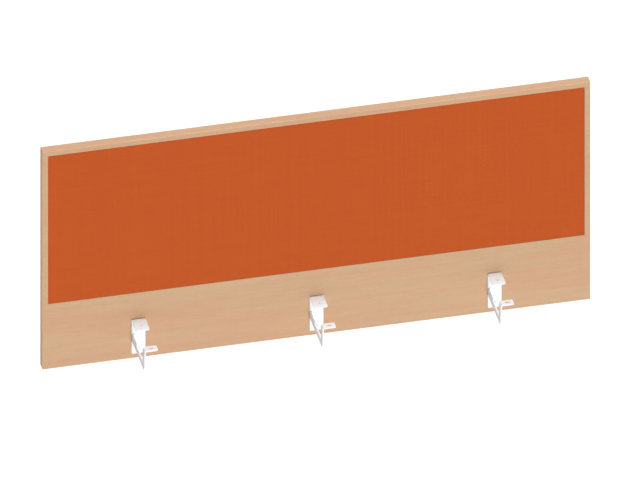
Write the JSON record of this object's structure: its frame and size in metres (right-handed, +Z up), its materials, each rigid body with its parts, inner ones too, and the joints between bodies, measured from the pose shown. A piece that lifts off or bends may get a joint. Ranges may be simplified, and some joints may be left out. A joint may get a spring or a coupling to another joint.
{
  "type": "desk privacy panel",
  "caption": "Desk privacy panel: a beech laminate board with a flush orange upholstered pad, on folded white steel brackets that screw up under a desktop.",
  "frame": {"origin": "centre of the middle bracket's flange, on its top face, in the plane of the desktop's underside", "axes": "+X along the panel, +Y away from the user through the panel's thickness, +Z up"},
  "size_m": [1.6, 0.195, 0.75],
  "materials": {
    "beech_laminate": "melamine face with a fine matt grain",
    "beech_edge_band": "printed 2 mm edge band, satin, corners eased",
    "orange_fabric": "fine plain-weave upholstery, matt",
    "pad_foam": "thin open-cell foam",
    "hardboard": "raw hardboard",
    "white_powder_coat": "fine-textured satin powder coat on 4 mm steel",
    "white_screw": "white-lacquered steel button head",
    "brass_insert": "turned brass"
  },
  "bodies": {
    "root": {"panel_core_board": "beech_laminate", "edge_band_top": "beech_edge_band", "edge_band_bottom": "beech_edge_band", "edge_band_left": "beech_edge_band", "edge_band_right": "beech_edge_band", "pad_fabric_cover": "orange_fabric", "pad_foam": "pad_foam", "pad_backing_board": "hardboard", "bracket_left": "white_powder_coat", "bracket_centre": "white_powder_coat", "bracket_right": "white_powder_coat", "screw_upper_left": "white_screw", "screw_lower_left": "white_screw", "screw_upper_centre": "white_screw", "screw_lower_centre": "white_screw", "screw_upper_right": "white_screw", "screw_lower_right": "white_screw", "insert_upper_left": "brass_insert", "insert_lower_left": "brass_insert", "insert_upper_centre": "brass_insert", "insert_lower_centre": "brass_insert", "insert_upper_right": "brass_insert", "insert_lower_right": "brass_insert"}
  },
  "joints": []
}
